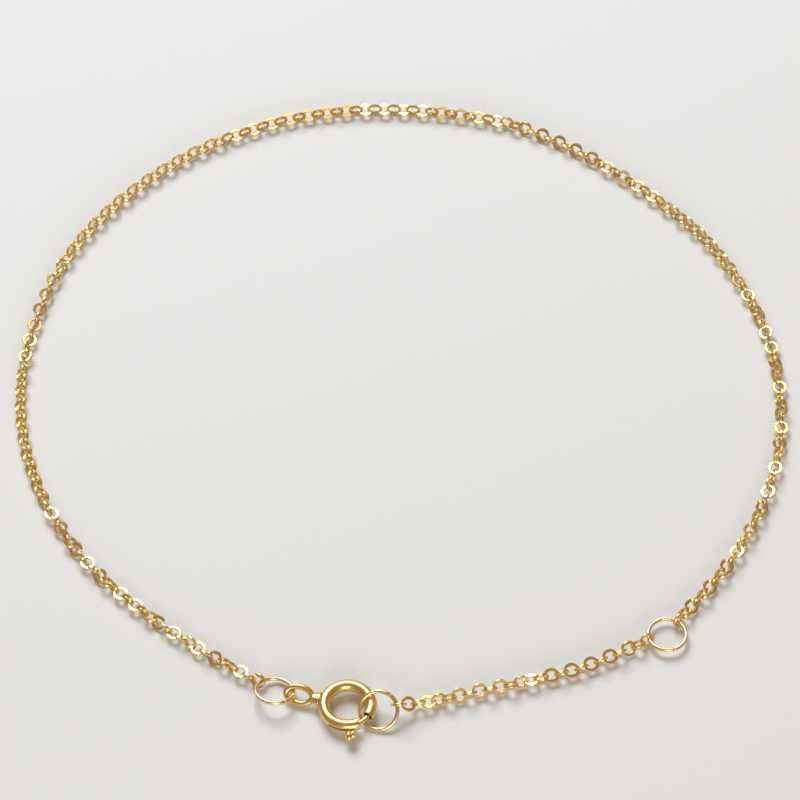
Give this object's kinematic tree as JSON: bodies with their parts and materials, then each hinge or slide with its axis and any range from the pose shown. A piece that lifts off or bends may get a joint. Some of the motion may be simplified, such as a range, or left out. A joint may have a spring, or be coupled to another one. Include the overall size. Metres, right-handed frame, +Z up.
{
  "type": "chain bracelet",
  "caption": "Fine yellow gold cable chain bracelet lying in a closed loop, with jump rings, a sizing ring, an extender chain and a spring ring clasp whose knob slides back.",
  "frame": {"origin": "middle of the loop's box, on the plane that the bracelet lies on", "axes": "+Z up from the plane that the bracelet lies on, +Y from the clasp's side of the loop to the far side, +X to the right seen with the clasp nearest"},
  "size_m": [0.0607, 0.0613, 0.0019],
  "materials": {
    "chain_gold": "polished yellow gold",
    "ring_gold": "polished yellow gold, a little rosier",
    "clasp_gold": "polished yellow gold, mirror bright"
  },
  "bodies": {
    "bracelet": {"end_ring_left": "ring_gold", "end_ring_right": "ring_gold", "sizing_ring": "ring_gold", "clasp_body": "clasp_gold", "main_chain": "chain_gold", "main_chain_first_link": "chain_gold", "main_chain_last_link": "chain_gold", "extender_link_01": "chain_gold", "extender_link_02": "chain_gold", "extender_link_03": "chain_gold", "extender_link_04": "chain_gold", "extender_link_05": "chain_gold", "extender_link_06": "chain_gold", "extender_link_07": "chain_gold", "extender_link_08": "chain_gold", "extender_link_09": "chain_gold", "extender_link_10": "chain_gold", "extender_link_11": "chain_gold", "extender_link_12": "chain_gold", "extender_link_13": "chain_gold", "extender_link_14": "chain_gold", "extender_link_15": "chain_gold", "extender_link_16": "chain_gold", "extender_link_17": "chain_gold", "extender_link_18": "chain_gold", "extender_link_19": "chain_gold", "extender_link_20": "chain_gold", "extender_link_21": "chain_gold", "extender_link_22": "chain_gold", "extender_link_23": "chain_gold", "extender_link_24": "chain_gold", "extender_link_25": "chain_gold", "extender_link_26": "chain_gold"},
    "trigger": {"clasp_trigger": "clasp_gold"}
  },
  "joints": [
    {"name": "trigger_slide", "type": "hinge", "parent": "bracelet", "child": "trigger", "pos_m": [-0.00391, -0.02764, 0.00082], "axis": [0, 0, 1], "range_deg": [-40, 0], "stiffness_Nm_per_rad": 0.002, "springref_deg": 20.05}
  ]
}
